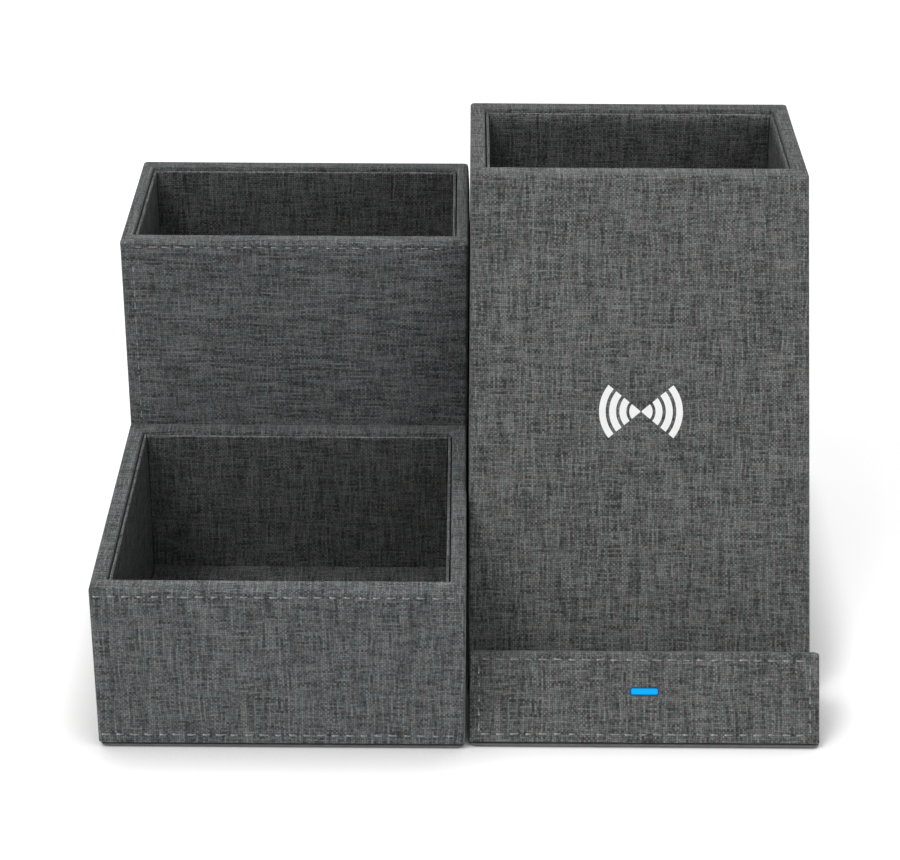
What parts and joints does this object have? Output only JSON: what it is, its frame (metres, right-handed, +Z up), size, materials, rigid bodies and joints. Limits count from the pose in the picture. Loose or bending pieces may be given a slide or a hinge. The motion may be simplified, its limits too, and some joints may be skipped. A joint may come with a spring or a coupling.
{
  "type": "charging station organizer",
  "caption": "Cloth-covered desk organizer in two modules: a low tray before a tall bin, and a leaning wireless charging panel with a phone lip before a pen bin.",
  "frame": {"origin": "middle of the footprint, on the surface the object stands on", "axes": "+X to the right seen from the front, +Y to the back, +Z up"},
  "size_m": [0.2, 0.162, 0.1305],
  "materials": {
    "cover_cloth": "grey melange linen-look cloth",
    "lining_cloth": "grey melange linen-look cloth, glued on card",
    "fibreboard": "bare fibreboard",
    "base_sheet": "dark grey fine-grained sheet",
    "foot_rubber": "matt black rubber",
    "magnet_plating": "nickel plated",
    "light_window": "clear blue light guide",
    "circuit_board": "green solder mask",
    "chip_black": "moulded black",
    "connector_nylon": "cream nylon",
    "coil_copper": "enamelled copper",
    "ferrite_grey": "sintered ferrite",
    "carrier_plastic": "moulded black, satin",
    "screw_steel": "zinc plated steel",
    "standoff_brass": "turned brass",
    "socket_steel": "stamped stainless steel",
    "surround_plastic": "moulded black, fine texture",
    "lead_jacket": "black soft jacket"
  },
  "bodies": {
    "charging_module": {"charger_base_board": "base_sheet", "charger_cover": "cover_cloth", "charger_feet": "foot_rubber", "charger_left_board": "fibreboard", "charger_magnets": "magnet_plating", "charger_pcb": "circuit_board", "charger_rear_board": "fibreboard", "charger_right_board": "fibreboard", "charging_coil": "coil_copper", "coil_carrier": "carrier_plastic", "coil_lead": "lead_jacket", "electronics_screws": "screw_steel", "ferrite_sheet": "ferrite_grey", "lead_connectors": "connector_nylon", "led_board": "circuit_board", "led_lead": "lead_jacket", "led_window": "light_window", "ledge_block": "fibreboard", "lip_board": "fibreboard", "lip_cover": "cover_cloth", "panel_board": "fibreboard", "pcb_components": "chip_black", "pen_floor_board": "fibreboard", "pen_floor_card": "lining_cloth", "pen_lining_front": "lining_cloth", "pen_lining_left": "lining_cloth", "pen_lining_rear": "lining_cloth", "pen_lining_right": "lining_cloth", "pen_partition_board": "fibreboard", "port_board": "circuit_board", "port_surround": "surround_plastic", "power_lead": "lead_jacket", "standoffs": "standoff_brass", "usb_c_socket": "socket_steel"},
    "storage_module": {"bin_cover": "cover_cloth", "bin_floor_board": "fibreboard", "bin_floor_card": "lining_cloth", "bin_front_board": "fibreboard", "bin_left_board": "fibreboard", "bin_lining_front": "lining_cloth", "bin_lining_left": "lining_cloth", "bin_lining_rear": "lining_cloth", "bin_lining_right": "lining_cloth", "bin_rear_board": "fibreboard", "bin_right_board": "fibreboard", "storage_base_board": "base_sheet", "storage_feet": "foot_rubber", "storage_magnets": "magnet_plating", "tray_cover": "cover_cloth", "tray_floor_board": "fibreboard", "tray_floor_card": "lining_cloth", "tray_front_board": "fibreboard", "tray_left_board": "fibreboard", "tray_lining_front": "lining_cloth", "tray_lining_left": "lining_cloth", "tray_lining_rear": "lining_cloth", "tray_lining_right": "lining_cloth", "tray_rear_board": "fibreboard", "tray_right_board": "fibreboard"}
  },
  "joints": [
    {"name": "storage_slide", "type": "slide", "parent": "charging_module", "child": "storage_module", "axis": [-1, 0, 0], "range_m": [0, 0.06]}
  ]
}
